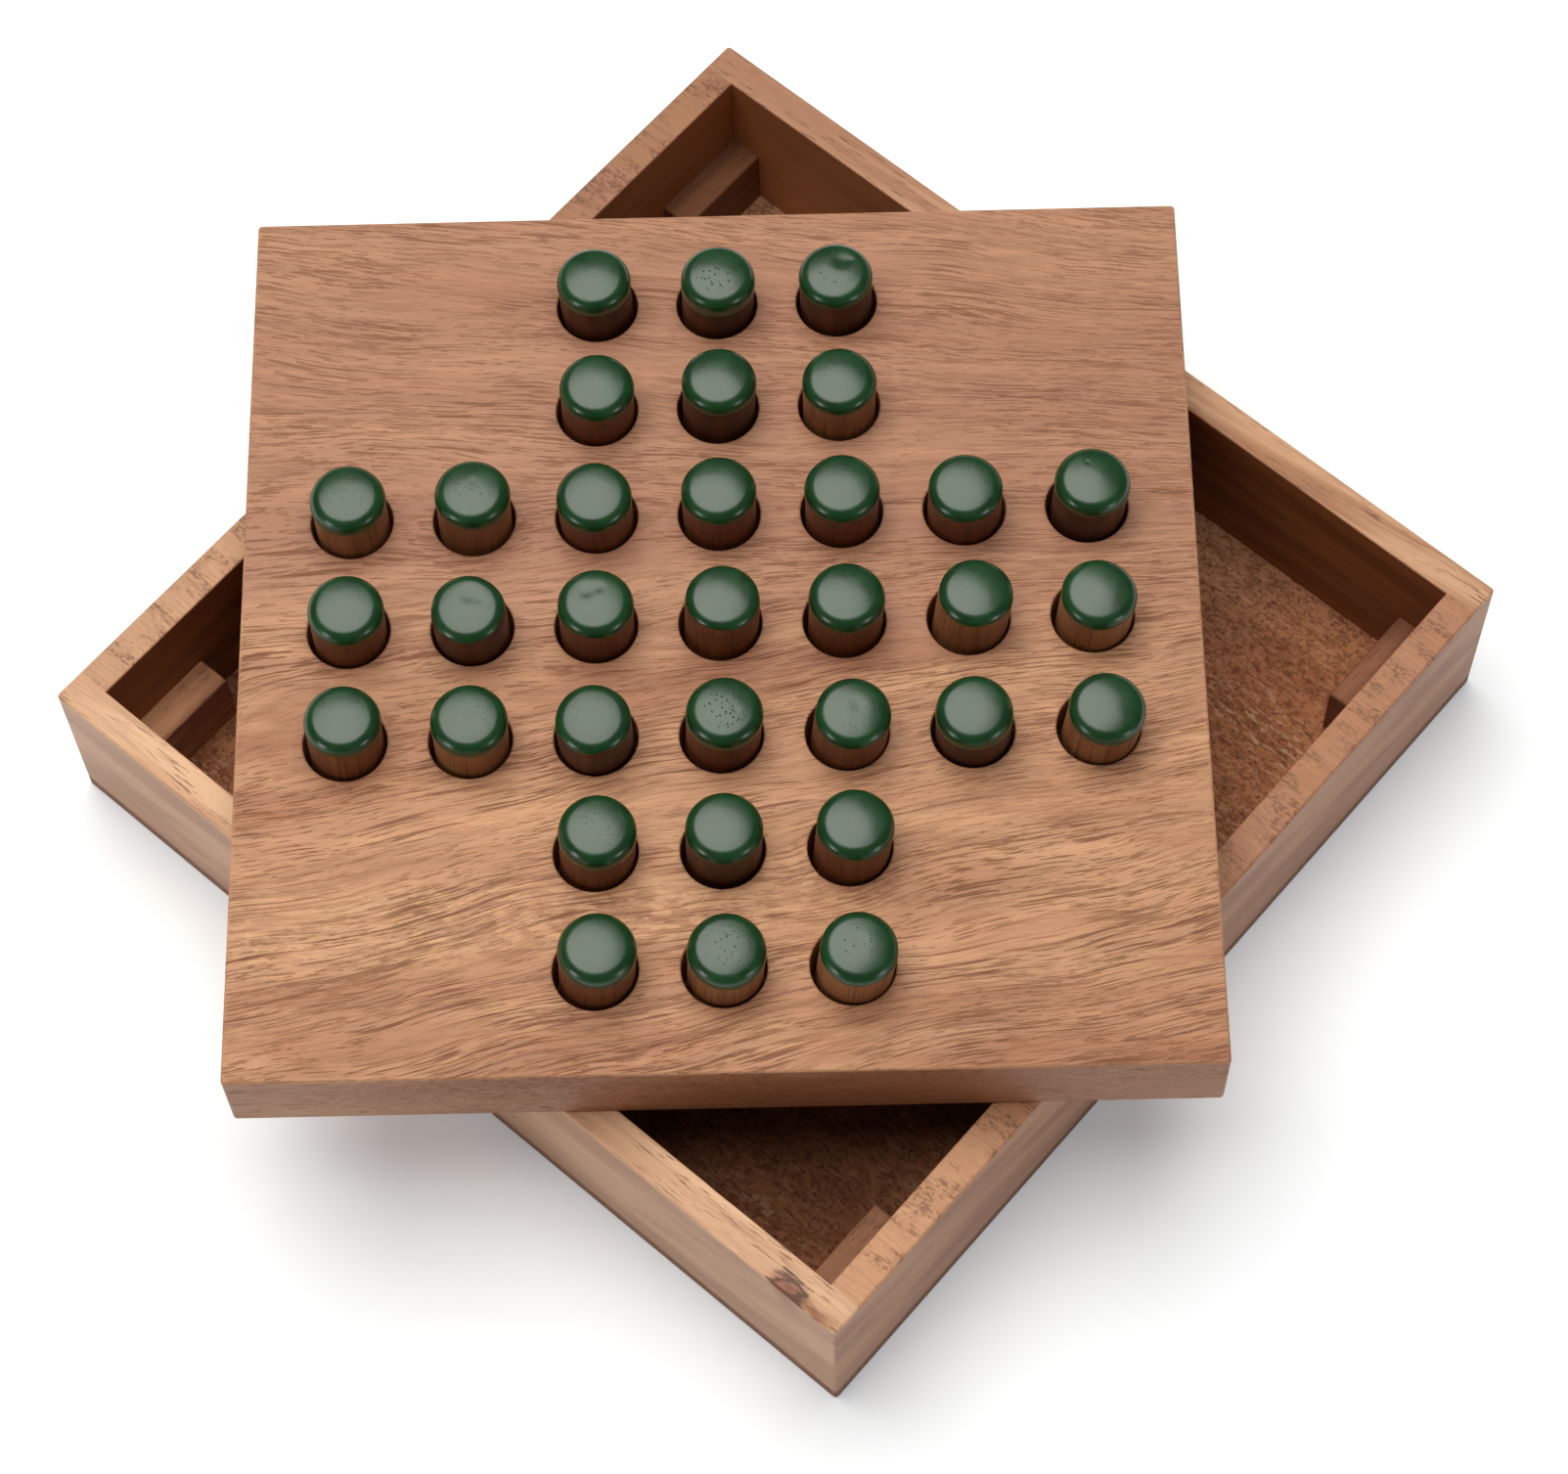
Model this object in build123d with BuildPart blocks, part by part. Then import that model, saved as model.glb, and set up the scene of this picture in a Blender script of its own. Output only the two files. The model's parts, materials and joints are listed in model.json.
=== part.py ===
"""Peg solitaire set: a loose square board with 33 painted pegs, laid askew across its storage tray.

Millimetres, +Z up. The origin is the middle of the tray's underside, with X and Y along its walls.
"""
import math
import os

from build123d import *

# Tray: four walls glued on a base panel, with a block in each corner that carries the board
# when it is put away.
tray_side = 145.0
tray_height = 29.0
wall_thickness = 5.0
base_thickness = 3.0
tray_corner_round = 0.6
rim_outer_round = 0.4
rim_inner_round = 0.3
foot_round = 0.4
block_length = 16.5
block_widths = {"front": 6.2, "back": 5.0}
block_height = 11.0
block_edge_round = 0.5

# Board: drops into the tray with a gap all round when it is square to it.
board_gap = 0.75
board_thickness = 13.5
board_corner_round = 0.6
board_top_round = 0.4
board_bottom_round = 0.5

# The board as it lies on the rims: its middle, and its turn about +Z in degrees.
board_shift_x = -7.9
board_shift_y = 3.4
board_turn = -48.3

# Holes and pegs.
edge_to_outer_holes = 15.1
hole_depth = 9.5
hole_mouth_round = 0.3
peg_diameter = 10.6
peg_play = 0.5
peg_proud = 8.5
peg_shoulder_round = 2.0
peg_foot_chamfer = 0.5
peg_foot_gap = 0.05

# Where each peg tips to in its loose hole, row by row from the back of the board: a compass point
# of the board, and how far in tenths of the angle that the play in the hole allows.
peg_tips = [
    "nw2 e3  nw1",
    "se4 ne4 se1",
    "se1 ne3 s6  e1  se1 s6  e4",
    "se4 s7  se3 e4  e3  e7  se6",
    "e3  se4 s7  e5  se9 s6  se9",
    "e5  e3  e6",
    "e5  se6 se9",
]
compass_degrees = {"e": 0, "ne": 45, "n": 90, "nw": 135, "w": 180, "s": 270, "se": 315}

# Sizes that follow from those above.
opening_side = tray_side - 2 * wall_thickness
wall_height = tray_height - base_thickness
wall_middle = (tray_side - wall_thickness) / 2
board_side = opening_side - 2 * board_gap
middle_row = len(peg_tips) // 2
hole_pitch = (board_side - 2 * edge_to_outer_holes) / (len(peg_tips) - 1)
hole_radius = peg_diameter / 2 + peg_play
peg_length = hole_depth + peg_proud
play_angle = math.atan(2 * peg_play / hole_depth)

# The board's own frame: its origin is the middle of the top face.
board_top = Plane(
    origin=(board_shift_x, board_shift_y, tray_height + board_thickness),
    x_dir=Vector(1, 0, 0).rotate(Axis.Z, board_turn),
    z_dir=(0, 0, 1),
)

# Each peg by its square, with its column and row counted from the middle hole and its tip.
pegs = {}
for row, tips in enumerate(peg_tips):
    first_column = middle_row - len(tips.split()) // 2
    for column, tip in enumerate(tips.split(), first_column):
        square = "abcdefg"[column] + str(row + 1)
        pegs[square] = (column - middle_row, middle_row - row, tip)

os.makedirs("parts", exist_ok=True)


def write(part, name):
    part.label = name
    export_step(part, f"parts/{name}.step")


def peg_seat(column, row, tip):
    """The plane of a peg's foot, whose normal is the peg's axis. The peg tips about mid-depth."""
    angle = play_angle * int(tip[-1]) / 10
    bearing = math.radians(compass_degrees[tip[:-1]])
    axis = Vector(
        math.sin(angle) * math.cos(bearing),
        math.sin(angle) * math.sin(bearing),
        math.cos(angle),
    )
    pivot = Vector(column * hole_pitch, row * hole_pitch, -hole_depth / 2)
    foot_rise = peg_foot_gap + peg_diameter / 2 * math.sin(angle)
    foot = pivot - axis * ((hole_depth / 2 - foot_rise) / math.cos(angle))
    return Plane(board_top.location * Plane(origin=foot, z_dir=axis).location)


# Base panel, flush with the outside of the walls.
with BuildPart() as base_panel:
    with BuildSketch(Plane.XY):
        RectangleRounded(tray_side, tray_side, tray_corner_round)
    extrude(amount=base_thickness)
    fillet(base_panel.faces().sort_by(Axis.Z)[0].edges(), foot_round)
write(base_panel.part, "base_panel")

# The four walls are sanded as one ring, and each is the length of the ring that it fills: those
# at the left and right run the full side, and the front and back ones fit between them.
with BuildPart() as wall_ring:
    with BuildSketch(Plane.XY.offset(base_thickness)):
        RectangleRounded(tray_side, tray_side, tray_corner_round)
        Rectangle(opening_side, opening_side, mode=Mode.SUBTRACT)
    extrude(amount=wall_height)
    fillet(wall_ring.faces().sort_by(Axis.Z)[-1].outer_wire().edges(), rim_outer_round)
    fillet(wall_ring.faces().sort_by(Axis.Z)[-1].inner_wires()[0].edges(), rim_inner_round)

walls = {
    "wall_left": ((-wall_middle, 0), (wall_thickness, tray_side)),
    "wall_right": ((wall_middle, 0), (wall_thickness, tray_side)),
    "wall_front": ((0, -wall_middle), (opening_side, wall_thickness)),
    "wall_back": ((0, wall_middle), (opening_side, wall_thickness)),
}
for name, ((middle_x, middle_y), (size_x, size_y)) in walls.items():
    with BuildPart() as wall:
        add(wall_ring.part)
        with BuildSketch(Plane((middle_x, middle_y, base_thickness))):
            Rectangle(size_x, size_y)
        extrude(amount=wall_height, mode=Mode.INTERSECT)
    write(wall.part, name)

# Corner blocks, lying along the front and back walls, with their free edges rounded.
for side_y, end in ((-1, "front"), (1, "back")):
    block_width = block_widths[end]
    for side_x, side in ((-1, "left"), (1, "right")):
        free_end = side_x * (opening_side / 2 - block_length)
        free_side = side_y * (opening_side / 2 - block_width)
        middle_x = side_x * (opening_side - block_length) / 2
        middle_y = side_y * (opening_side - block_width) / 2
        with BuildPart() as block:
            with BuildSketch(Plane((middle_x, middle_y, base_thickness))):
                Rectangle(block_length, block_width)
            extrude(amount=block_height)
            top_edges = block.faces().sort_by(Axis.Z)[-1].edges()
            free_edges = top_edges.filter_by(
                lambda edge: math.isclose(edge.center().X, free_end)
                or math.isclose(edge.center().Y, free_side)
            )
            fillet(free_edges, block_edge_round)
        write(block.part, f"corner_block_{end}_{side}")

# Board, with its blind holes in the solitaire cross.
hole_centres = [(column * hole_pitch, row * hole_pitch) for column, row, tip in pegs.values()]
with BuildPart() as peg_board:
    with BuildSketch(board_top.offset(-board_thickness)):
        RectangleRounded(board_side, board_side, board_corner_round)
    extrude(amount=board_thickness)
    fillet(peg_board.faces().sort_by(Axis.Z)[0].edges(), board_bottom_round)
    fillet(peg_board.faces().sort_by(Axis.Z)[-1].edges(), board_top_round)
    with BuildSketch(board_top):
        with Locations(*hole_centres):
            Circle(hole_radius)
    extrude(amount=-hole_depth, mode=Mode.SUBTRACT)
    hole_mouths = peg_board.faces().sort_by(Axis.Z)[-1].edges().filter_by(GeomType.CIRCLE)
    fillet(hole_mouths.filter_by(lambda edge: edge.is_closed), hole_mouth_round)
write(peg_board.part, "peg_board")

# Pegs: dowels with a sanded foot and a well rounded top.
for square, (column, row, tip) in pegs.items():
    with BuildPart() as peg:
        with BuildSketch(peg_seat(column, row, tip)):
            Circle(peg_diameter / 2)
        extrude(amount=peg_length)
        ends = peg.edges().filter_by(GeomType.CIRCLE).sort_by(Axis.Z)
        fillet(ends[-1], peg_shoulder_round)
        chamfer(ends[0], peg_foot_chamfer)
    write(peg.part, f"peg_{square}")
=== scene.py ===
import json
import math
import random

import bmesh
import bpy
from mathutils import Matrix, Quaternion, Vector, noise

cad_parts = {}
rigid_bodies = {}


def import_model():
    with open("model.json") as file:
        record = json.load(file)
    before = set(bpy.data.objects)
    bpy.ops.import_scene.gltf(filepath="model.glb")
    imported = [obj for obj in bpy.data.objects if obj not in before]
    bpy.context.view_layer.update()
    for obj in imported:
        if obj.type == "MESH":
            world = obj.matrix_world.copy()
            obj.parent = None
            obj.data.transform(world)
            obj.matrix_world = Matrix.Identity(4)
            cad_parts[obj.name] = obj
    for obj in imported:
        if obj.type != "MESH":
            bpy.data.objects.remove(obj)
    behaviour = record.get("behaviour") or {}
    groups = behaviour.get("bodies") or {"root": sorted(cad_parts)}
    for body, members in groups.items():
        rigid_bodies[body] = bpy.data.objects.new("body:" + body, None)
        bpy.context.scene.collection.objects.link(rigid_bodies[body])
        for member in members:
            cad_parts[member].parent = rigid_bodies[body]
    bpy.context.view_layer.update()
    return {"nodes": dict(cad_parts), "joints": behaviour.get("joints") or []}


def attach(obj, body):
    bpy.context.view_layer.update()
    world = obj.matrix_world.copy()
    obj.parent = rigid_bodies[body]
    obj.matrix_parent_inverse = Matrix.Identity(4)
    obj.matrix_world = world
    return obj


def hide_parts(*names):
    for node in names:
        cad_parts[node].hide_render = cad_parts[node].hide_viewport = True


for left_over in list(bpy.data.objects):
    bpy.data.objects.remove(left_over)

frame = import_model()

# Peg solitaire set: a loose wooden board with 33 dip-painted pegs, askew on its storage tray.
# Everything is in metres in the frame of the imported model; the materials work in millimetres.
MM = 0.001

# The middle of the board's top as it lies and its turn about +Z, then sizes in millimetres.
BOARD_TOP = Vector((-7.9, 3.4, 42.5)) * MM
BOARD_TURN = math.radians(-48.3)
BOARD_HALF = 66.75
TRAY_HALF = 72.5
OPENING_HALF = 67.5
RIM_HEIGHT = 29.0


# ---------------------------------------------------------------------------------------------
# Materials
# ---------------------------------------------------------------------------------------------


def srgb(red, green, blue):
    """A colour as read from a swatch, 0 to 255, in the shader's linear values."""
    swatch = [value / 255 for value in (red, green, blue)]
    linear = [v / 12.92 if v <= 0.04045 else ((v + 0.055) / 1.055) ** 2.4 for v in swatch]
    return (*linear, 1.0)


# Wood and paint colours.
BOARD_DEEP = srgb(165, 109, 75)
BOARD_LIGHT = srgb(191, 138, 101)
BOARD_RED = srgb(173, 124, 98)
BOARD_GOLD = srgb(212, 161, 118)
BOARD_STREAK = srgb(136, 82, 54)
BOARD_PORE = srgb(102, 56, 36)
# The board's sides: duller wood, darkened partly as painted shade.
SHADED_SIDE = srgb(157, 113, 86)
SHADED_SIDE_DARK = srgb(124, 70, 39)
RIM_PALE = {"deep": srgb(204, 156, 120), "gold": srgb(224, 180, 142), "pink": srgb(206, 156, 122)}
RIM_TAN = {"deep": srgb(176, 122, 86), "gold": srgb(206, 152, 112), "pink": srgb(180, 126, 94)}
RIM_BROWN = {"deep": srgb(166, 116, 82), "gold": srgb(206, 158, 121), "pink": srgb(168, 118, 90)}
RIM_STREAK = srgb(134, 88, 60)
RIM_PORE = srgb(96, 58, 38)
FACE_PALE = srgb(193, 150, 118)
FACE_DEEP = srgb(171, 127, 95)
END_PALE = srgb(174, 125, 93)
END_DEEP = srgb(150, 101, 71)
FACE_FOOT = srgb(164, 116, 88)
# Inner faces of the tray: the first two colours are darkened partly as painted shade, the third is
# painted light.
INNER_LIGHT = srgb(150, 90, 50)
INNER_DEEP = srgb(122, 68, 36)
INNER_PAINTED_LIGHT = srgb(190, 124, 76)
KNOT_STAIN = srgb(136, 78, 50)
KNOT_HEART = srgb(62, 38, 24)
PANEL_LIGHT = srgb(184, 120, 80)
PANEL_DEEP = srgb(152, 92, 58)
PANEL_GREY = srgb(206, 164, 130)
PANEL_DARK = srgb(118, 64, 38)
PANEL_SPECK = srgb(84, 42, 24)
PLY_LIGHT = srgb(150, 108, 82)
PLY_DARK = srgb(110, 72, 50)
BLOCK_TONES = {
    "front_left": (srgb(140, 92, 64), srgb(160, 110, 80)),
    "front_right": (srgb(118, 72, 48), srgb(136, 88, 62)),
    "back_left": (srgb(158, 106, 74), srgb(190, 136, 99)),
    "back_right": (srgb(100, 58, 35), srgb(120, 74, 45)),
}
DOWEL_DARK = srgb(64, 30, 13)
DOWEL_MID = srgb(108, 59, 31)
DOWEL_LIGHT = srgb(144, 96, 58)
DOWEL_STREAK = srgb(52, 26, 14)
PAINT_LIGHT = srgb(14, 62, 24)
PAINT_DEEP = srgb(11, 51, 19)
PAINT_PIT = srgb(6, 28, 12)


class Finish:
    """A material under construction, with short ways to add and join its nodes."""

    def __init__(self, name):
        self.material = bpy.data.materials.new(name)
        self.material.use_nodes = True
        self.tree = self.material.node_tree
        self.tree.nodes.clear()

    def add(self, kind, inputs, output=0, **settings):
        node = self.tree.nodes.new(kind)
        for name, value in settings.items():
            setattr(node, name, value)
        for key, value in inputs.items():
            if isinstance(value, bpy.types.NodeSocket):
                self.tree.links.new(value, node.inputs[key])
            else:
                node.inputs[key].default_value = value
        return node.outputs[output] if node.outputs else None

    def math(self, operation, *values):
        return self.add("ShaderNodeMath", dict(enumerate(values)), operation=operation)

    def plus(self, first, second):
        return self.math("ADD", first, second)

    def minus(self, first, second):
        return self.math("SUBTRACT", first, second)

    def times(self, first, *others):
        for other in others:
            first = self.math("MULTIPLY", first, other)
        return first

    def fade(self, value, start, end, low=0.0, high=1.0):
        """A soft step: low before start, high after end."""
        inputs = {0: value, 1: start, 2: end, 3: low, 4: high}
        return self.add("ShaderNodeMapRange", inputs, interpolation_type="SMOOTHSTEP")

    def within(self, value, middle, half_width, softness):
        """One where value is near middle, and zero away from it."""
        distance = self.math("ABSOLUTE", self.minus(value, middle))
        return self.fade(distance, half_width + softness, half_width)

    def combine(self, x, y, z):
        return self.add("ShaderNodeCombineXYZ", {0: x, 1: y, 2: z})

    def separate(self, vector):
        node = self.tree.nodes.new("ShaderNodeSeparateXYZ")
        self.tree.links.new(vector, node.inputs[0])
        return node.outputs[0], node.outputs[1], node.outputs[2]

    def cloud(self, place, scale=1.0, detail=2.0, roughness=0.5):
        inputs = {"Vector": place, "Scale": scale, "Detail": detail, "Roughness": roughness}
        return self.add("ShaderNodeTexNoise", inputs)

    def cells(self, place, scale):
        return self.add("ShaderNodeTexVoronoi", {"Vector": place, "Scale": scale})

    def mix(self, factor, first, second, blend="MIX"):
        inputs = {0: factor, 6: first, 7: second}
        return self.add("ShaderNodeMix", inputs, output=2, data_type="RGBA", blend_type=blend)

    def shade(self, colour, factor, darkest, lightest):
        """The colour times a grey that runs from darkest to lightest with factor."""
        grey = self.add("ShaderNodeMapRange", {0: factor, 3: darkest, 4: lightest})
        return self.mix(1.0, colour, self.combine(grey, grey, grey), blend="MULTIPLY")

    def surface(self, inputs):
        shader = self.add("ShaderNodeBsdfPrincipled", inputs)
        self.add("ShaderNodeOutputMaterial", {"Surface": shader})
        return self.material

    def relief_surface(self, colour, roughness, specular, height, depth, strength):
        """The finished material, with height raised into a relief of that depth."""
        relief = {"Height": height, "Distance": depth, "Strength": strength}
        return self.surface(
            {
                "Base Color": colour,
                "Roughness": roughness,
                "Specular IOR Level": specular,
                "Normal": self.add("ShaderNodeBump", relief),
            }
        )

    def millimetres(self, origin=(0, 0, 0), turn=0.0):
        """The object's own coordinates in millimetres, from origin and turned about +Z."""
        place = self.add("ShaderNodeTexCoord", {}, output=3)
        inputs = {
            "Vector": place,
            "Location": tuple(origin),
            "Rotation": (0, 0, turn),
            "Scale": (MM, MM, MM),
        }
        return self.separate(self.add("ShaderNodeMapping", inputs, vector_type="TEXTURE"))


class Grain:
    """Wood figure about one grain direction: every layer is stretched along it."""

    def __init__(self, finish, along, across, depth, seed):
        self.finish = finish
        self.along = along
        self.across = across
        self.depth = depth
        self.seed = seed

    def layer(self, length, width, detail=2.0, roughness=0.5):
        """A noise whose marks are about length by width millimetres."""
        f = self.finish
        self.seed += 7.3
        place = f.combine(
            f.math("MULTIPLY_ADD", self.along, 1 / length, self.seed),
            f.math("MULTIPLY", self.across, 1 / width),
            f.math("MULTIPLY_ADD", self.depth, 1 / width, self.seed * 1.7),
        )
        return f.cloud(place, detail=detail, roughness=roughness)


def strokes(f, grain, length, width, start, end, clusters):
    """Open pores: fine dark strokes along the grain, gathered where clusters is high."""
    marks = f.fade(grain.layer(length, width, detail=2.0, roughness=0.6), start, end)
    return f.times(marks, clusters)


def fine_fibres(f, grain, colour, length, width, depth):
    """The close, faint lines of the fibres: the shaded colour and the lines themselves."""
    fibres = grain.layer(length, width, detail=2.0)
    return f.shade(colour, f.fade(fibres, 0.3, 0.7), 1.0 - depth, 1.0 + depth), fibres


def board_wood():
    """Pinkish tan hardwood, plain sawn, with its grain rising to the right in the nearer half."""
    f = Finish("board_wood")
    right, away, up = f.millimetres(BOARD_TOP, BOARD_TURN)

    # The grain's slope changes across the board, and the whole figure wanders a little.
    slope = f.plus(f.fade(away, -26, 26, 0.20, 0.01), f.fade(away, 0, 66, 0.0, -0.16))
    wander_place = f.combine(
        f.times(right, 1 / 42), f.times(away, 1 / 20), f.times(up, 1 / 20)
    )
    wander = f.times(f.minus(f.cloud(wander_place, detail=2.0, roughness=0.4), 0.5), 8.0)
    across = f.plus(f.minus(away, f.times(slope, right)), wander)
    grain = Grain(f, right, across, up, 3.0)
    level = Grain(f, right, f.plus(away, f.times(wander, 0.3)), up, 5.0)
    nearer = f.fade(away, 18, -12)

    bands = f.fade(grain.layer(150, 13, detail=3.0), 0.36, 0.64)
    colour = f.mix(bands, BOARD_DEEP, BOARD_LIGHT)

    # A redder back part and a golden, mottled band near the front left.
    colour = f.mix(f.fade(away, -30, 20, 0.0, 0.6), colour, BOARD_RED)
    gold_patches = f.fade(level.layer(34, 7, detail=3.0, roughness=0.6), 0.46, 0.66)
    colour = f.mix(f.times(gold_patches, nearer, 0.45), colour, BOARD_GOLD)
    band_line = f.plus(f.times(right, 0.06), -42.0)
    band = f.fade(f.math("ABSOLUTE", f.minus(away, band_line)), 9.0, 3.0)
    mottle = f.fade(level.layer(3.0, 1.1, detail=3.0, roughness=0.65), 0.46, 0.56)
    band = f.times(band, f.fade(right, 36, -8), f.plus(f.times(mottle, 0.85), 0.15))
    colour = f.mix(f.times(band, 0.8), colour, BOARD_GOLD)

    # Soft darker lines along the grain, some close together.
    streaks = grain.layer(44, 1.5, detail=4.0, roughness=0.6)
    colour = f.shade(colour, f.fade(streaks, 0.3, 0.7), 0.90, 1.08)
    level_lines = level.layer(30, 0.8, detail=3.0, roughness=0.6)
    colour = f.shade(colour, f.fade(level_lines, 0.3, 0.7), 0.93, 1.05)
    lines = f.fade(grain.layer(24, 0.38, detail=2.0), 0.56, 0.63)
    line_patches = f.fade(grain.layer(46, 8), 0.44, 0.58)
    lines = f.times(lines, line_patches, f.plus(f.times(nearer, 0.42), 0.35))
    colour = f.mix(lines, colour, BOARD_STREAK)

    # Open pores, in patches.
    clusters = f.fade(grain.layer(26, 6, detail=2.0), 0.40, 0.60, 0.15, 1.0)
    long_pores = strokes(f, grain, 8.0, 0.30, 0.56, 0.62, clusters)
    spread = f.fade(grain.layer(22, 10), 0.36, 0.60, 0.3, 1.0)
    short_pores = strokes(f, grain, 3.6, 0.26, 0.57, 0.63, spread)
    open_pores = f.math("MAXIMUM", long_pores, f.times(short_pores, 0.8))
    colour = f.mix(f.times(open_pores, f.plus(f.times(nearer, 0.15), 0.55)), colour, BOARD_PORE)
    colour, fibres = fine_fibres(f, level, colour, 10, 0.17, 0.06)

    # The sides are duller than the top and darker, partly as painted shade, and darker still in the
    # middle; the edges are a little paler where they turn over.
    side = f.fade(up, -0.15, -0.6)
    shaded_side_colour = f.mix(f.fade(f.math("ABSOLUTE", right), 28, 58), SHADED_SIDE_DARK, SHADED_SIDE)
    colour = f.mix(f.times(side, 0.6), colour, shaded_side_colour)
    reach = f.math("MAXIMUM", f.math("ABSOLUTE", right), f.math("ABSOLUTE", away))
    edge = f.times(f.fade(reach, BOARD_HALF - 0.6, BOARD_HALF - 0.2), f.fade(up, -0.9, -0.2))
    wear = f.fade(grain.layer(12, 5), 0.35, 0.65, 0.0, 0.35)
    colour = f.mix(f.times(edge, wear), colour, BOARD_GOLD)

    roughness = f.plus(f.fade(fibres, 0.3, 0.7, 0.42, 0.52), f.times(open_pores, 0.2))
    height = f.minus(f.times(fibres, 0.35), open_pores)
    return f.relief_surface(
        colour, roughness, specular=0.3, height=height, depth=0.1 * MM, strength=0.7
    )


def slanting_figure(f, along, z, slant, length, seed, deep, pale):
    """The soft figure of a sanded outer face, which slants down along the wall."""
    place = f.combine(
        f.times(f.plus(along, f.times(z, slant)), 1 / length),
        f.times(f.plus(z, f.times(along, 0.1)), 1 / 9),
        seed,
    )
    return f.mix(f.fade(f.cloud(place, detail=3.0), 0.38, 0.60), deep, pale)


def outside_of_tray(f, x, y, z, colour):
    """The sanded outer faces: smooth, duller than the rims, browner towards the foot, partly as
    painted shade.
    """
    side = f.fade(f.math("ABSOLUTE", x), TRAY_HALF - 0.45, TRAY_HALF - 0.1)
    end = f.fade(f.math("ABSOLUTE", y), TRAY_HALF - 0.45, TRAY_HALF - 0.1)
    below_rim = f.fade(z, RIM_HEIGHT - 0.25, RIM_HEIGHT - 0.7)
    drift = f.cloud(f.combine(f.times(x, 1 / 30), f.times(y, 1 / 30), f.times(z, 1 / 9)))
    side_face = slanting_figure(f, y, z, 1.3, 30, 3.0, FACE_DEEP, FACE_PALE)
    end_face = slanting_figure(f, x, z, 1.5, 28, 9.0, END_DEEP, END_PALE)
    face = f.mix(end, side_face, end_face)
    # Browner towards the foot: partly the wood's colour, partly painted shade near the floor.
    foot = f.fade(f.plus(z, f.times(f.minus(drift, 0.5), 9.0)), 10.5, 4.0)
    face = f.mix(f.times(foot, 0.55), face, FACE_FOOT)
    hair = Grain(f, f.plus(x, y), z, f.minus(x, y), 17.0)
    face = f.shade(face, f.fade(hair.layer(22, 0.5, detail=3.0), 0.3, 0.7), 0.97, 1.03)
    return f.mix(f.times(f.math("MAXIMUM", side, end), below_rim), colour, face)


def inside_of_tray(f, distance, z, grain, colour, painted_light):
    """The inner faces: darker than the rims, partly as painted shade, with a soft long figure, and
    painted light where the last argument is high.
    """
    near_face = f.fade(distance, OPENING_HALF + 0.25, OPENING_HALF + 0.05)
    inner = f.times(near_face, f.fade(z, RIM_HEIGHT - 0.2, RIM_HEIGHT - 0.5))
    figure = f.fade(grain.layer(40, 3.5, detail=3.0), 0.36, 0.64)
    face = f.mix(painted_light, f.mix(figure, INNER_DEEP, INNER_LIGHT), INNER_PAINTED_LIGHT)
    return f.mix(inner, colour, face)


# The knot in the left wall's rim and the middle of the stain that trails from it, in X and Y, and
# the Y where the stain starts down the outer face.
KNOT_PLACE = (-71.4, -63.6)
TRAIL_PLACE = (-71.9, -66.4)
VEIL_TOP = -63.0


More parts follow.
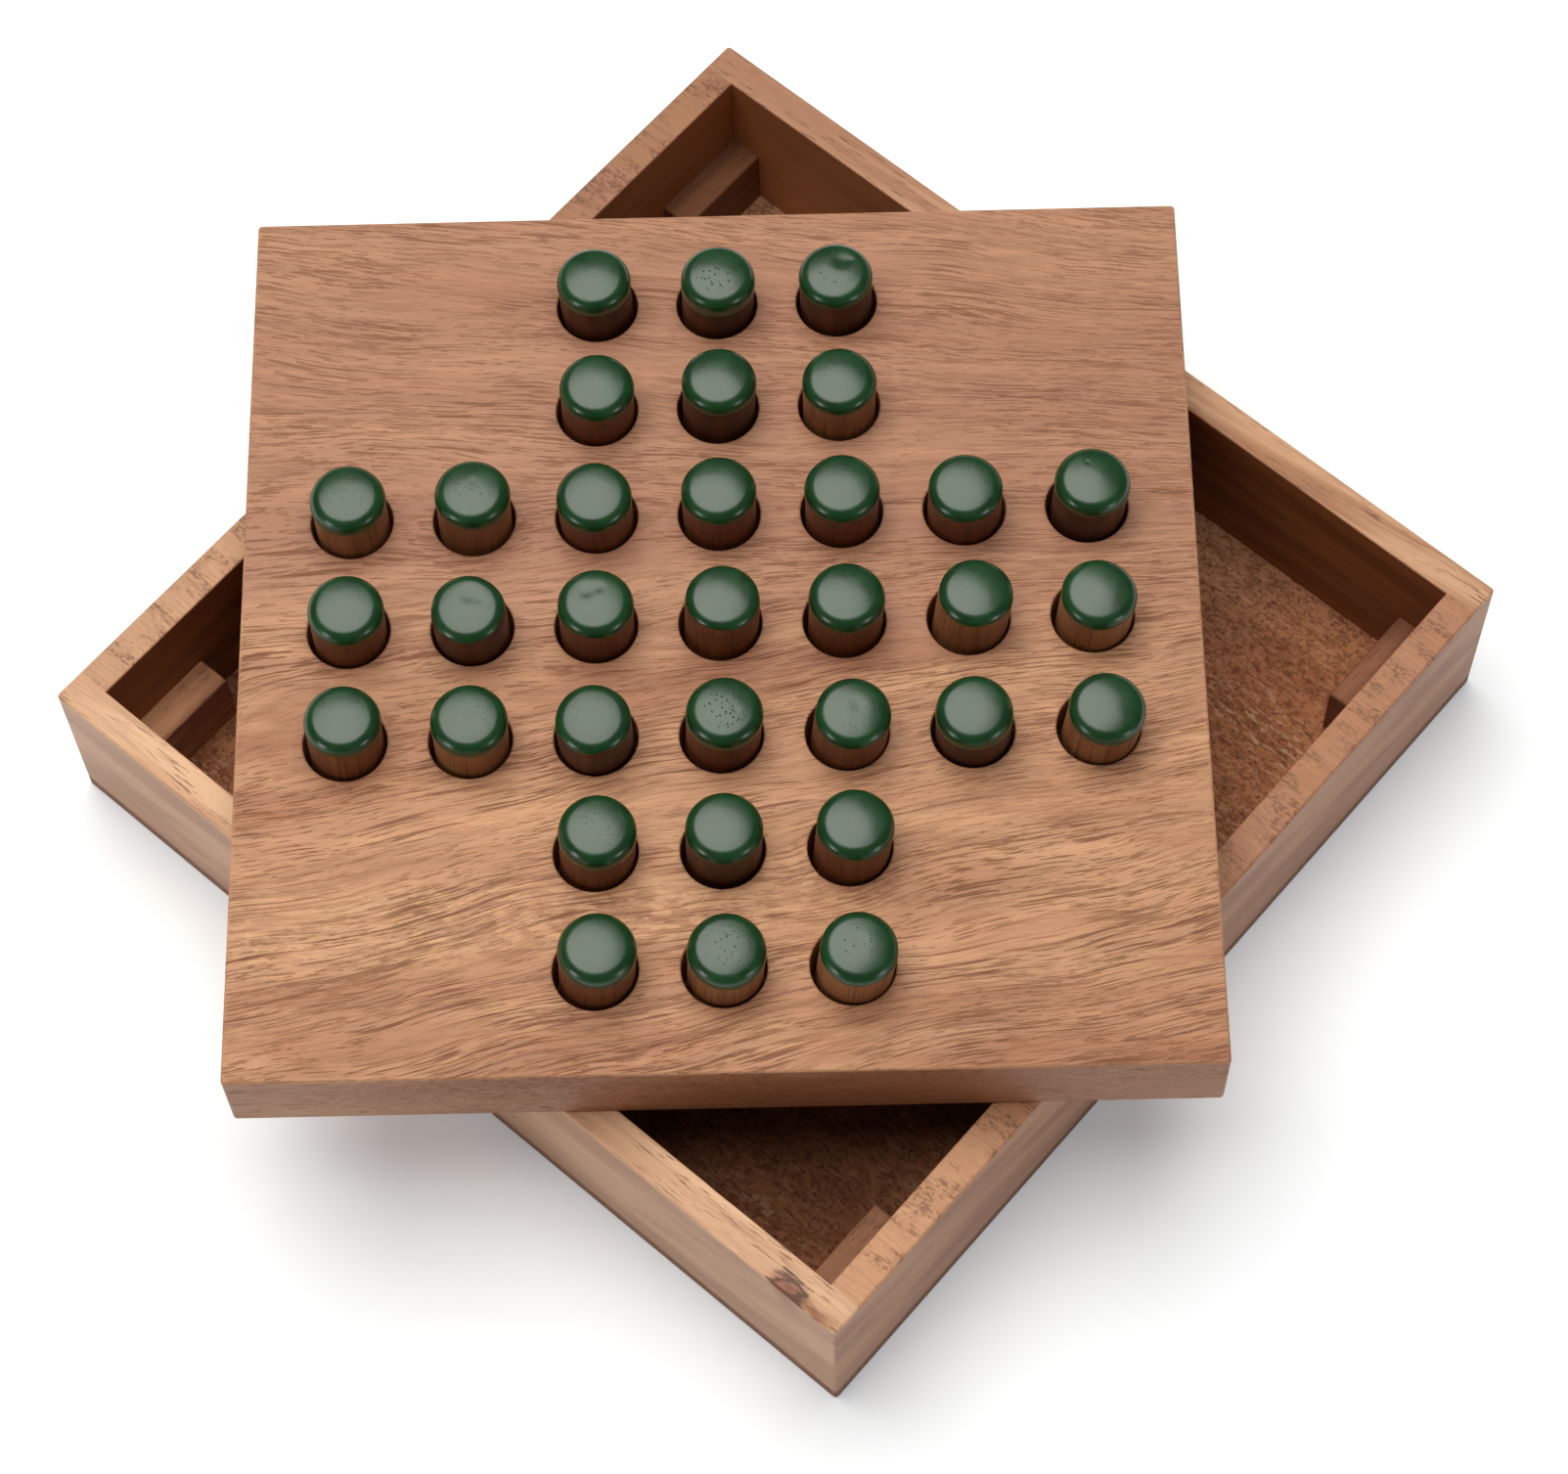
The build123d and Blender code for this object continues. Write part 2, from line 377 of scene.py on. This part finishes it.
def long_grain_wall(name, seed, rim, pink, knot=False):
    """A side wall of the tray, with its grain along Y."""
    f = Finish(name)
    x, y, z = f.millimetres()
    wander_place = f.combine(f.times(x, 1 / 9), f.plus(f.times(y, 1 / 38), seed), f.times(z, 1 / 9))
    wander = f.times(f.minus(f.cloud(wander_place, detail=2.0), 0.5), 4.5)
    across = f.plus(f.plus(x, f.times(y, 0.05)), wander)
    grain = Grain(f, y, across, z, seed)

    bands = f.fade(grain.layer(60, 2.6, detail=3.0), 0.36, 0.64)
    colour = f.mix(bands, rim["deep"], rim["gold"])
    colour = f.mix(f.fade(y, *pink, 0.0, 0.75), colour, rim["pink"])
    streaks = grain.layer(22, 0.6, detail=3.0, roughness=0.6)
    streak_patches = f.fade(grain.layer(40, 4), 0.40, 0.60, 0.2, 1.0)
    streak_marks = f.times(f.fade(streaks, 0.54, 0.68), streak_patches)
    colour = f.mix(f.times(streak_marks, 0.35), colour, RIM_STREAK)
    clusters = f.fade(grain.layer(16, 2.5), 0.40, 0.60, 0.2, 1.0)
    open_pores = strokes(f, grain, 4.0, 0.26, 0.57, 0.67, clusters)
    colour = f.mix(f.times(open_pores, 0.72), colour, RIM_PORE)

    if knot:
        # A small knot at the outer edge of the rim, with stained grain trailing to the corner.
        swirl = grain.layer(3.5, 0.9, detail=3.0)
        ripple = f.times(f.minus(swirl, 0.5), 2.2)
        from_y = f.minus(y, KNOT_PLACE[1])
        from_x = f.minus(x, f.plus(KNOT_PLACE[0], f.times(from_y, 0.02)))
        ring = f.plus(
            f.math("POWER", f.times(from_y, 1 / 2.6), 2.0),
            f.math("POWER", f.times(from_x, 1 / 1.5), 2.0),
        )
        ring = f.plus(f.math("SQRT", ring), f.times(ripple, 0.35))
        trail_y = f.fade(f.math("ABSOLUTE", f.minus(y, TRAIL_PLACE[1])), 6.4, 2.5)
        trail_x = f.fade(f.math("ABSOLUTE", f.plus(f.minus(x, TRAIL_PLACE[0]), ripple)), 1.5, 0.3)
        trail = f.times(trail_y, trail_x, f.fade(swirl, 0.40, 0.56, 0.35, 1.0))
        colour = f.mix(f.times(trail, 0.8), colour, KNOT_STAIN)
        colour = f.mix(f.times(f.fade(ring, 1.5, 0.7), 0.75), colour, KNOT_STAIN)
        rough_ring = f.plus(ring, f.times(f.minus(swirl, 0.5), 1.9))
        heart = f.plus(f.within(rough_ring, 0.8, 0.1, 0.3), f.fade(ring, 0.4, 0.1, 0.0, 0.4))
        colour = f.mix(f.times(heart, 0.75), colour, KNOT_HEART)

    # Painted light: the inner faces are paler towards the back, at high Y.
    painted_light = f.times(f.fade(y, 15, 62), 0.6)
    colour = inside_of_tray(f, f.math("ABSOLUTE", x), z, grain, colour, painted_light)
    colour = outside_of_tray(f, x, y, z, colour)
    if knot:
        # The same stain shows faintly on the outer face, slanting down to the corner.
        slant = f.plus(f.minus(y, VEIL_TOP), f.times(f.minus(RIM_HEIGHT, z), 0.35))
        veil = f.times(f.fade(f.math("ABSOLUTE", slant), 3.2, 0.4), f.fade(z, 20.0, 28.5, 0.0, 0.5))
        veil = f.times(veil, f.fade(x, 0.5 - TRAY_HALF, 0.1 - TRAY_HALF))
        colour = f.mix(veil, colour, KNOT_STAIN)

    colour, fibres = fine_fibres(f, grain, colour, 7, 0.16, 0.05)
    height = f.minus(f.times(fibres, 0.35), f.times(open_pores, 0.8))
    roughness = f.fade(fibres, 0.3, 0.7, 0.42, 0.52)
    return f.relief_surface(
        colour, roughness, specular=0.3, height=height, depth=0.08 * MM, strength=0.6
    )


def cross_grain_wall(name, seed, rim, golden_end):
    """An end wall of the tray. Its rim shows specks and short strokes across the wall."""
    f = Finish(name)
    x, y, z = f.millimetres()
    grain = Grain(f, f.plus(y, f.times(x, 0.12)), x, z, seed)

    bands = f.fade(grain.layer(30, 7, detail=3.0), 0.36, 0.64)
    colour = f.mix(bands, rim["deep"], rim["pink"])
    colour = f.mix(f.fade(x, *golden_end, 0.0, 0.8), colour, rim["gold"])
    combing = grain.layer(7, 0.34, detail=3.0, roughness=0.6)
    colour = f.shade(colour, f.fade(combing, 0.32, 0.68), 0.90, 1.05)
    clouds = f.fade(grain.layer(9, 3.2, detail=3.0, roughness=0.6), 0.46, 0.60, 0.06, 1.0)
    specks = strokes(f, grain, 0.9, 0.55, 0.50, 0.60, clouds)
    ticks = strokes(f, grain, 1.9, 0.26, 0.56, 0.64, f.plus(f.times(clouds, 0.7), 0.2))
    open_pores = f.math("MAXIMUM", f.times(specks, 0.8), ticks)
    colour = f.mix(f.times(clouds, 0.16), colour, RIM_STREAK)
    colour = f.mix(f.times(open_pores, 0.72), colour, RIM_PORE)

    along = Grain(f, x, z, y, seed + 5.0)
    # Painted light: the inner faces are paler towards the right end, at high X.
    painted_light = f.times(f.fade(x, 15, 62), 0.4)
    colour = inside_of_tray(f, f.math("ABSOLUTE", y), z, along, colour, painted_light)
    colour = outside_of_tray(f, x, y, z, colour)
    colour, fibres = fine_fibres(f, grain, colour, 5, 0.16, 0.04)
    height = f.minus(f.times(fibres, 0.35), f.times(open_pores, 0.8))
    roughness = f.fade(fibres, 0.3, 0.7, 0.42, 0.54)
    return f.relief_surface(
        colour, roughness, specular=0.3, height=height, depth=0.08 * MM, strength=0.6
    )


def panel_plywood():
    """Coarse reddish-brown plywood, its face fibres along Y and its edge in thin plies."""
    f = Finish("panel_plywood")
    x, y, z = f.millimetres()
    wander_place = f.combine(f.times(x, 1 / 14), f.times(y, 1 / 40), 4.0)
    wander = f.times(f.minus(f.cloud(wander_place, detail=2.0), 0.5), 5.0)
    grain = Grain(f, y, f.plus(x, wander), z, 51.0)
    bands = f.fade(grain.layer(60, 9, detail=3.0), 0.36, 0.64)
    colour = f.mix(bands, PANEL_DEEP, PANEL_LIGHT)
    colour = f.mix(f.times(f.fade(f.plus(x, y), -5, 70), 0.45), colour, PANEL_GREY)
    dark = f.fade(grain.layer(1.7, 1.0, detail=4.0, roughness=0.75), 0.47, 0.62)
    colour = f.mix(f.times(dark, 0.6), colour, PANEL_DARK)
    grey_patches = f.fade(grain.layer(40, 12), 0.40, 0.60, 0.35, 1.0)
    grey = f.fade(grain.layer(2.4, 0.5, detail=4.0, roughness=0.7), 0.50, 0.62)
    colour = f.mix(f.times(grey, grey_patches, 0.6), colour, PANEL_GREY)
    specks = f.fade(grain.layer(0.8, 0.65, detail=3.0, roughness=0.7), 0.54, 0.62)
    colour = f.mix(f.times(specks, 0.5), colour, PANEL_SPECK)

    # Painted shade cast by the board: darker towards the front corner.
    colour = f.shade(colour, f.fade(f.plus(x, y), -100, 0), 0.68, 1.0)

    # The outside edge: smooth, browner than the walls, with the middle ply darker.
    reach = f.math("MAXIMUM", f.math("ABSOLUTE", x), f.math("ABSOLUTE", y))
    outside = f.fade(reach, TRAY_HALF - 2.0, TRAY_HALF - 1.2)
    edge_grain = Grain(f, f.plus(x, y), z, f.minus(x, y), 71.0)
    ply = f.within(z, 1.5, 0.45, 0.12)
    edge = f.mix(f.times(ply, 0.5), PLY_LIGHT, PLY_DARK)
    edge = f.shade(edge, f.fade(edge_grain.layer(14, 0.6, detail=3.0), 0.3, 0.7), 0.85, 1.07)
    colour = f.mix(outside, colour, edge)
    rough_fibre = grain.layer(4, 0.3, detail=3.0)
    height = f.minus(rough_fibre, f.times(f.plus(dark, specks), 0.5))
    roughness = f.fade(rough_fibre, 0.3, 0.7, 0.62, 0.78)
    return f.relief_surface(
        colour, roughness, specular=0.25, height=height, depth=0.2 * MM, strength=0.8
    )


def block_wood(name, deep, light, seed):
    """An offcut for a corner block, its grain along X."""
    f = Finish(name)
    x, y, z = f.millimetres()
    grain = Grain(f, x, f.plus(y, f.times(x, 0.05)), z, seed)
    bands = f.fade(grain.layer(30, 2.2, detail=3.0), 0.36, 0.64)
    colour = f.mix(bands, deep, light)
    streaks = f.fade(grain.layer(9, 0.5, detail=3.0), 0.54, 0.68)
    colour = f.mix(f.times(streaks, 0.35), colour, RIM_STREAK)
    clusters = f.fade(grain.layer(10, 2), 0.40, 0.60, 0.2, 1.0)
    pores = strokes(f, grain, 1.8, 0.4, 0.54, 0.66, clusters)
    colour = f.mix(f.times(pores, 0.5), colour, RIM_PORE)
    colour, fibres = fine_fibres(f, grain, colour, 6, 0.2, 0.06)
    height = f.minus(fibres, f.times(pores, 0.6))
    roughness = f.fade(fibres, 0.3, 0.7, 0.55, 0.68)
    return f.relief_surface(
        colour, roughness, specular=0.25, height=height, depth=0.12 * MM, strength=0.7
    )


def dowel_wood():
    """Reddish-brown dowel. Every peg's wood differs by its tone and by its place in the figure."""
    f = Finish("dowel_wood")
    x, y, z = f.separate(
        f.add("ShaderNodeAttribute", {}, output=1, attribute_name="peg_space")
    )
    tone = f.add("ShaderNodeAttribute", {}, output=2, attribute_name="tone")
    grain = Grain(f, z, x, y, 111.0)
    bands = grain.layer(30, 2.6, detail=2.0)
    shade = f.plus(tone, f.times(f.minus(bands, 0.5), 0.8))
    colour = f.mix(f.fade(shade, 0.0, 0.5), DOWEL_DARK, DOWEL_MID)
    colour = f.mix(f.fade(shade, 0.5, 1.0), colour, DOWEL_LIGHT)
    streaks = f.fade(grain.layer(12, 0.32, detail=3.0), 0.53, 0.68)
    colour = f.mix(f.times(streaks, 0.5), colour, DOWEL_STREAK)
    colour, fibres = fine_fibres(f, grain, colour, 5, 0.14, 0.09)
    height = f.minus(fibres, f.times(streaks, 0.6))
    roughness = f.fade(fibres, 0.3, 0.7, 0.45, 0.58)
    return f.relief_surface(
        colour, roughness, specular=0.3, height=height, depth=0.08 * MM, strength=0.6
    )


def dipped_paint():
    """Thick glossy green paint, with faint runs, dust nibs and, on some pegs, pits."""
    f = Finish("dipped_paint")
    place = f.add("ShaderNodeAttribute", {}, output=1, attribute_name="peg_space")
    pits = f.add("ShaderNodeAttribute", {}, output=2, attribute_name="pits")
    drift = f.cloud(place, scale=0.35, detail=2.0)
    colour = f.mix(f.fade(drift, 0.3, 0.7), PAINT_DEEP, PAINT_LIGHT)
    waves = f.cloud(place, scale=0.4, detail=1.0)
    nibs = f.fade(f.cells(place, 0.8), 0.09, 0.01)
    craters = f.times(f.fade(f.cells(place, 1.7), 0.26, 0.04), pits)
    height = f.plus(f.times(waves, 0.25), f.times(nibs, 0.10))
    height = f.minus(height, craters)
    colour = f.mix(f.times(craters, 0.3), colour, PAINT_PIT)
    roughness = f.plus(f.fade(drift, 0.3, 0.7, 0.26, 0.30), f.times(craters, 0.15))
    return f.relief_surface(
        colour, roughness, specular=0.66, height=height, depth=0.12 * MM, strength=0.8
    )


# ---------------------------------------------------------------------------------------------
# Pegs
# ---------------------------------------------------------------------------------------------

# A painted peg in millimetres: a dowel with a well rounded shoulder and a low dome on top.
PEG_RADIUS = 5.3
PEG_LENGTH = 18.0
SHOULDER_RADIUS = 2.0
DOME_EDGE = math.radians(14.0)
DOME_REACH = PEG_RADIUS - SHOULDER_RADIUS + SHOULDER_RADIUS * math.sin(DOME_EDGE)
DOME_RADIUS = DOME_REACH / math.sin(DOME_EDGE)
DOME_CENTRE = PEG_LENGTH - DOME_RADIUS
DOME_END = DOME_CENTRE + DOME_RADIUS * math.cos(DOME_EDGE)
SHOULDER_CENTRE = DOME_END - SHOULDER_RADIUS * math.cos(DOME_EDGE)
PAINT_THICKNESS = 0.14
FOOT_CHAMFER = 0.5
BEAD_TOP = 0.28
RING_STEP = 0.3
DOME_RINGS = 14
PEG_STEPS = 96

# How far the lip's waves reach, how uneven the paint's skin is, and where pits stop on the top.
LIP_REACH = 0.55
SKIN_DEPTH = 0.04
SKIN_SCALE = 0.32
PIT_REACH = 3.6
PIT_FADE = 1.2

# How dark each peg's dowel is, from the back row to the front: 0 dark, 1 light.
peg_tones = {
    1: "0.10 0.15 0.10",
    2: "0.45 0.10 0.85",
    3: "0.80 0.85 0.50 0.45 0.50 0.45 0.10",
    4: "0.45 0.10 0.50 0.55 0.50 0.85 0.90",
    5: "0.50 0.85 0.10 0.45 0.50 0.10 0.80",
    6: "0.50 0.10 0.50",
    7: "0.50 0.80 0.85",
}

# How far down from its top each peg was dipped, in millimetres.
dip_depths = {
    1: "3.0 3.8 2.5",
    2: "2.4 2.8 2.3",
    3: "2.9 2.8 2.5 2.3 2.5 1.9 2.8",
    4: "2.4 1.5 2.2 1.6 2.7 1.8 2.2",
    5: "2.4 2.6 1.7 3.0 1.9 2.9 2.5",
    6: "3.2 2.2 2.1",
    7: "3.0 2.8 2.0",
}


def by_square(rows):
    """One value for each square from rows of text, the shorter rows centred on column d."""
    values = {}
    for row, text in rows.items():
        numbers = [float(word) for word in text.split()]
        first = 3 - len(numbers) // 2
        for column, number in enumerate(numbers, first):
            values["abcdefg"[column] + str(row)] = number
    return values


# Marks in the paint: (right, away, radius, depth) in millimetres on the peg's top.
dents = {
    "e1": [(1.0, 1.5, 2.2, 0.22), (2.2, 1.6, 0.9, 0.06)],
    "b4": [(0.2, 1.6, 2.4, 0.26), (1.8, 0.9, 1.3, 0.10)],
    "c4": [(-1.2, 1.2, 2.0, 0.20), (0.6, 1.8, 1.4, 0.10)],
    "b5": [(0.9, 0.2, 1.8, 0.05)],
    "d5": [(1.4, -0.5, 0.6, 0.06), (0.2, -1.3, 0.5, 0.06)],
    "e5": [(0.4, 0.6, 1.8, 0.13)],
    "d7": [(0.1, 1.9, 0.6, 0.07), (0.9, -1.2, 0.5, 0.06)],
    "e7": [(-0.1, 0.5, 1.5, 0.08)],
    "g3": [(-0.8, 2.2, 0.5, 0.06)],
    "b3": [(0.3, 0.8, 1.2, 0.04)],
}

# How strongly each pitted peg's top is pitted, from 0 to 1.
pitted = {
    "d1": 1.0,
    "e1": 0.35,
    "a3": 0.25,
    "b3": 0.3,
    "b5": 0.2,
    "c5": 0.2,
    "d5": 0.9,
    "e5": 0.3,
    "c6": 0.25,
    "d7": 0.4,
    "e7": 0.4,
}


def outside_radius(height):
    """The painted peg's radius at a height above its foot."""
    if height <= SHOULDER_CENTRE:
        return PEG_RADIUS
    if height <= DOME_END:
        rise = height - SHOULDER_CENTRE
        return PEG_RADIUS - SHOULDER_RADIUS + math.sqrt(SHOULDER_RADIUS**2 - rise**2)
    return math.sqrt(max(DOME_RADIUS**2 - (height - DOME_CENTRE) ** 2, 0.0))


def peg_profile(lip):
    """The peg's outline as (radius, height), from the middle of its foot to the middle of its top."""
    bare = PEG_RADIUS - PAINT_THICKNESS
    outline = [(0.0, 0.0), (bare - FOOT_CHAMFER, 0.0), (bare, FOOT_CHAMFER)]
    outline += [(bare, 2.5), (bare, 5.0), (bare, 7.5), (bare, 9.5), (bare, 11.0)]
    below = [lip - 1.4, lip - 0.8, lip - 0.4, lip - 0.12]
    outline += [(outside_radius(height) - PAINT_THICKNESS, height) for height in below]
    bead = [(lip - 0.02, 0.11), (lip + 0.04, 0.06), (lip + 0.14, 0.02), (lip + BEAD_TOP, 0.0)]
    outline += [(outside_radius(height) - inset, height) for height, inset in bead]
    height = lip + BEAD_TOP
    while height < SHOULDER_CENTRE - RING_STEP:
        height += RING_STEP
        outline.append((PEG_RADIUS, height))
    angle = math.radians(90)
    while angle > DOME_EDGE:
        rise = SHOULDER_CENTRE + SHOULDER_RADIUS * math.sin(math.radians(90) - angle)
        if rise > height + 0.1:
            outline.append((outside_radius(rise), rise))
        angle -= math.radians(6)
    for ring in range(DOME_RINGS, 0, -1):
        tilt = DOME_EDGE * ring / DOME_RINGS
        outline.append((DOME_RADIUS * math.sin(tilt), DOME_CENTRE + DOME_RADIUS * math.cos(tilt)))
    outline.append((0.0, PEG_LENGTH))
    return outline


def make_peg(square, tone, dip):
    """A dip-painted peg: spun in millimetres with its foot at the origin, then put in its hole."""
    chance = random.Random(square)
    shift = Vector([chance.uniform(-60, 60) for axis in range(3)])
    lip = PEG_LENGTH - dip
    mesh = bmesh.new()
    outline = [mesh.verts.new((radius, 0.0, height)) for radius, height in peg_profile(lip)]
    chain = [mesh.edges.new(pair) for pair in zip(outline, outline[1:])]
    bmesh.ops.spin(
        mesh,
        geom=outline + chain,
        cent=(0, 0, 0),
        axis=(0, 0, 1),
        angle=math.tau,
        steps=PEG_STEPS,
        use_merge=True,
    )
    bmesh.ops.remove_doubles(mesh, verts=mesh.verts[:], dist=1e-4)
    bmesh.ops.recalc_face_normals(mesh, faces=mesh.faces[:])

    # Paint starts at the lip; the faces know it before the lip is made uneven.
    for face in mesh.faces:
        face.smooth = True
        face.material_index = 1 if face.calc_center_median().z > lip - 0.1 else 0
    for edge in mesh.edges:
        if edge.calc_face_angle(0.0) > math.radians(30) and edge.verts[0].co.z < 1.0:
            edge.smooth = False

    waves = [
        (turns, chance.uniform(0.03, 0.13), chance.uniform(0, math.tau)) for turns in (1, 2, 3, 5)
    ]
    marks = dents.get(square, [])
    for vertex in mesh.verts:
        radius = vertex.co.xy.length
        height = vertex.co.z
        bearing = math.atan2(vertex.co.y, vertex.co.x)
        nearness = math.exp(-(((height - lip) / LIP_REACH) ** 2))
        if radius > 1e-3 and nearness > 0.01 and height > 2.0:
            rise = sum(size * math.sin(turns * bearing + start) for turns, size, start in waves)
            inset = outside_radius(height) - radius
            height += rise * nearness
            wanted = outside_radius(min(height, PEG_LENGTH)) - inset
            vertex.co = Vector((vertex.co.x * wanted / radius, vertex.co.y * wanted / radius, height))
        if height > lip + 0.3:
            sink = 0.0
            for right, away, size, depth in marks:
                distance = math.hypot(vertex.co.x - right, vertex.co.y - away)
                sink += depth * math.exp(-((distance / (0.6 * size)) ** 2))
            uneven = 0.5 + 0.5 * noise.noise(vertex.co * SKIN_SCALE + shift)
            vertex.co.z -= sink + SKIN_DEPTH * uneven

    space = mesh.verts.layers.float_vector.new("peg_space")
    tones = mesh.verts.layers.float.new("tone")
    pits = mesh.verts.layers.float.new("pits")
    for vertex in mesh.verts:
        vertex[space] = vertex.co + shift
        vertex[tones] = tone
        from_middle = vertex.co.xy.length
        on_top = max(0.0, min(1.0, (PIT_REACH - from_middle) / PIT_FADE))
        vertex[pits] = pitted.get(square, 0.0) * on_top if vertex.co.z > lip else 0.0

    bmesh.ops.transform(mesh, matrix=peg_place(square), verts=mesh.verts[:])
    data = bpy.data.meshes.new(f"painted_peg_{square}")
    mesh.to_mesh(data)
    mesh.free()
    peg = bpy.data.objects.new(f"painted_peg_{square}", data)
    bpy.context.scene.collection.objects.link(peg)
    data.materials.append(DOWEL_WOOD)
    data.materials.append(DIPPED_PAINT)
    return peg


def peg_place(square):
    """Where the peg stands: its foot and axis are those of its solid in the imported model."""
    joint = next(j for j in frame["joints"] if j["child"] == f"peg_{square}")
    upright = Vector(joint["axis"]).normalized()
    board_right = Vector((math.cos(BOARD_TURN), math.sin(BOARD_TURN), 0.0))
    away = upright.cross(board_right).normalized()
    right = away.cross(upright)
    points = [vertex.co for vertex in frame["nodes"][f"peg_{square}"].data.vertices]
    foot = min(point.dot(upright) for point in points)
    sides = [[point.dot(side) for point in points] for side in (right, away)]
    middle = [(min(side) + max(side)) / 2 for side in sides]
    place = right * middle[0] + away * middle[1] + upright * foot
    turn = Matrix((right, away, upright)).transposed().to_4x4()
    return Matrix.Translation(place) @ turn @ Matrix.Scale(MM, 4)


DOWEL_WOOD = dowel_wood()
DIPPED_PAINT = dipped_paint()
tones = by_square(peg_tones)
dips = by_square(dip_depths)
for square in tones:
    peg = make_peg(square, tones[square], dips[square])
    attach(peg, f"peg_{square}")
    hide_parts(f"peg_{square}")


# ---------------------------------------------------------------------------------------------
# Board and tray
# ---------------------------------------------------------------------------------------------

finishes = {
    "peg_board": board_wood(),
    "wall_left": long_grain_wall("left_wall_wood", 21.0, RIM_PALE, (60, 72), knot=True),
    "wall_right": long_grain_wall("right_wall_wood", 31.0, RIM_BROWN, (0, 55)),
    "wall_front": cross_grain_wall("front_wall_wood", 41.0, RIM_TAN, (10, -60)),
    "wall_back": cross_grain_wall("back_wall_wood", 47.0, RIM_BROWN, (30, -30)),
    "base_panel": panel_plywood(),
}
for seed, (corner, (deep, light)) in enumerate(BLOCK_TONES.items()):
    wood = block_wood(f"{corner}_block_wood", deep, light, 91.0 + 13 * seed)
    finishes[f"corner_block_{corner}"] = wood
for node, finish in finishes.items():
    frame["nodes"][node].material_slots[0].material = finish


# ---------------------------------------------------------------------------------------------
# Floor, light and camera
# ---------------------------------------------------------------------------------------------


FLOOR_RADIUS = 6.0

# Where the lights face and where the camera stands, in metres, with its view, roll and lens.
LIGHT_AIM = Vector((0, 0, 0.04))
STRIP_TINT = (1.0, 0.99, 0.97)
CAMERA_PLACE = Vector((-197.39, -182.68, 558.13)) * MM
CAMERA_VIEW = Vector((0.3180, 0.2935, -0.9015))
CAMERA_ROLL = math.radians(-2.162)
CAMERA_LENS = 95.92


def studio_floor():
    """A wide pale disc for the set to stand on."""
    mesh = bmesh.new()
    bmesh.ops.create_circle(mesh, cap_ends=True, segments=96, radius=FLOOR_RADIUS)
    data = bpy.data.meshes.new("studio_floor")
    mesh.to_mesh(data)
    mesh.free()
    floor = bpy.data.objects.new("studio_floor", data)
    bpy.context.scene.collection.objects.link(floor)
    f = Finish("white_floor")
    data.materials.append(
        f.surface(
            {
                "Base Color": srgb(250, 252, 254),
                "Roughness": 0.9,
                "Emission Color": (0.82, 0.92, 1.0, 1.0),
                "Emission Strength": 0.2,
            }
        )
    )


def soft_light(name, direction, distance, size, watts, tint):
    """A round area light at a distance from the set, facing it."""
    data = bpy.data.lights.new(name, "AREA")
    data.shape = "DISK"
    data.size = size
    data.energy = watts
    data.color = tint
    lamp = bpy.data.objects.new(name, data)
    away = direction.normalized()
    lamp.location = LIGHT_AIM + away * distance
    lamp.rotation_mode = "QUATERNION"
    lamp.rotation_quaternion = away.to_track_quat("Z", "Y")
    lamp.visible_camera = False
    bpy.context.scene.collection.objects.link(lamp)


def from_board(right, away, up):
    """A direction given as seen from the front of the board, in the row frame."""
    return Matrix.Rotation(BOARD_TURN, 3, "Z") @ Vector((right, away, up))


studio_floor()
soft_light("overhead_softbox", from_board(-0.13, 0.20, 0.97), 0.85, 1.0, 9.75, (1.0, 0.985, 0.94))
soft_light("left_strip", from_board(-0.77, -0.61, 0.20), 1.0, 0.26, 1.2, STRIP_TINT)
soft_light("right_strip", from_board(0.77, -0.61, 0.20), 1.0, 0.24, 0.8, STRIP_TINT)

world = bpy.data.worlds.new("studio_fill")
bpy.context.scene.world = world
world.use_nodes = True
background = world.node_tree.nodes["Background"]
background.inputs["Color"].default_value = (0.98, 0.99, 1.0, 1.0)
background.inputs["Strength"].default_value = 0.12

camera_data = bpy.data.cameras.new("camera")
camera_data.lens = CAMERA_LENS
camera_data.sensor_width = 36.0
camera_data.clip_start = 0.01
camera = bpy.data.objects.new("camera", camera_data)
bpy.context.scene.collection.objects.link(camera)
camera.location = CAMERA_PLACE
camera.rotation_mode = "QUATERNION"
level = CAMERA_VIEW.to_track_quat("-Z", "Y")
camera.rotation_quaternion = level @ Quaternion((0, 0, 1), CAMERA_ROLL)
bpy.context.scene.camera = camera
bpy.context.scene.view_settings.view_transform = "Standard"
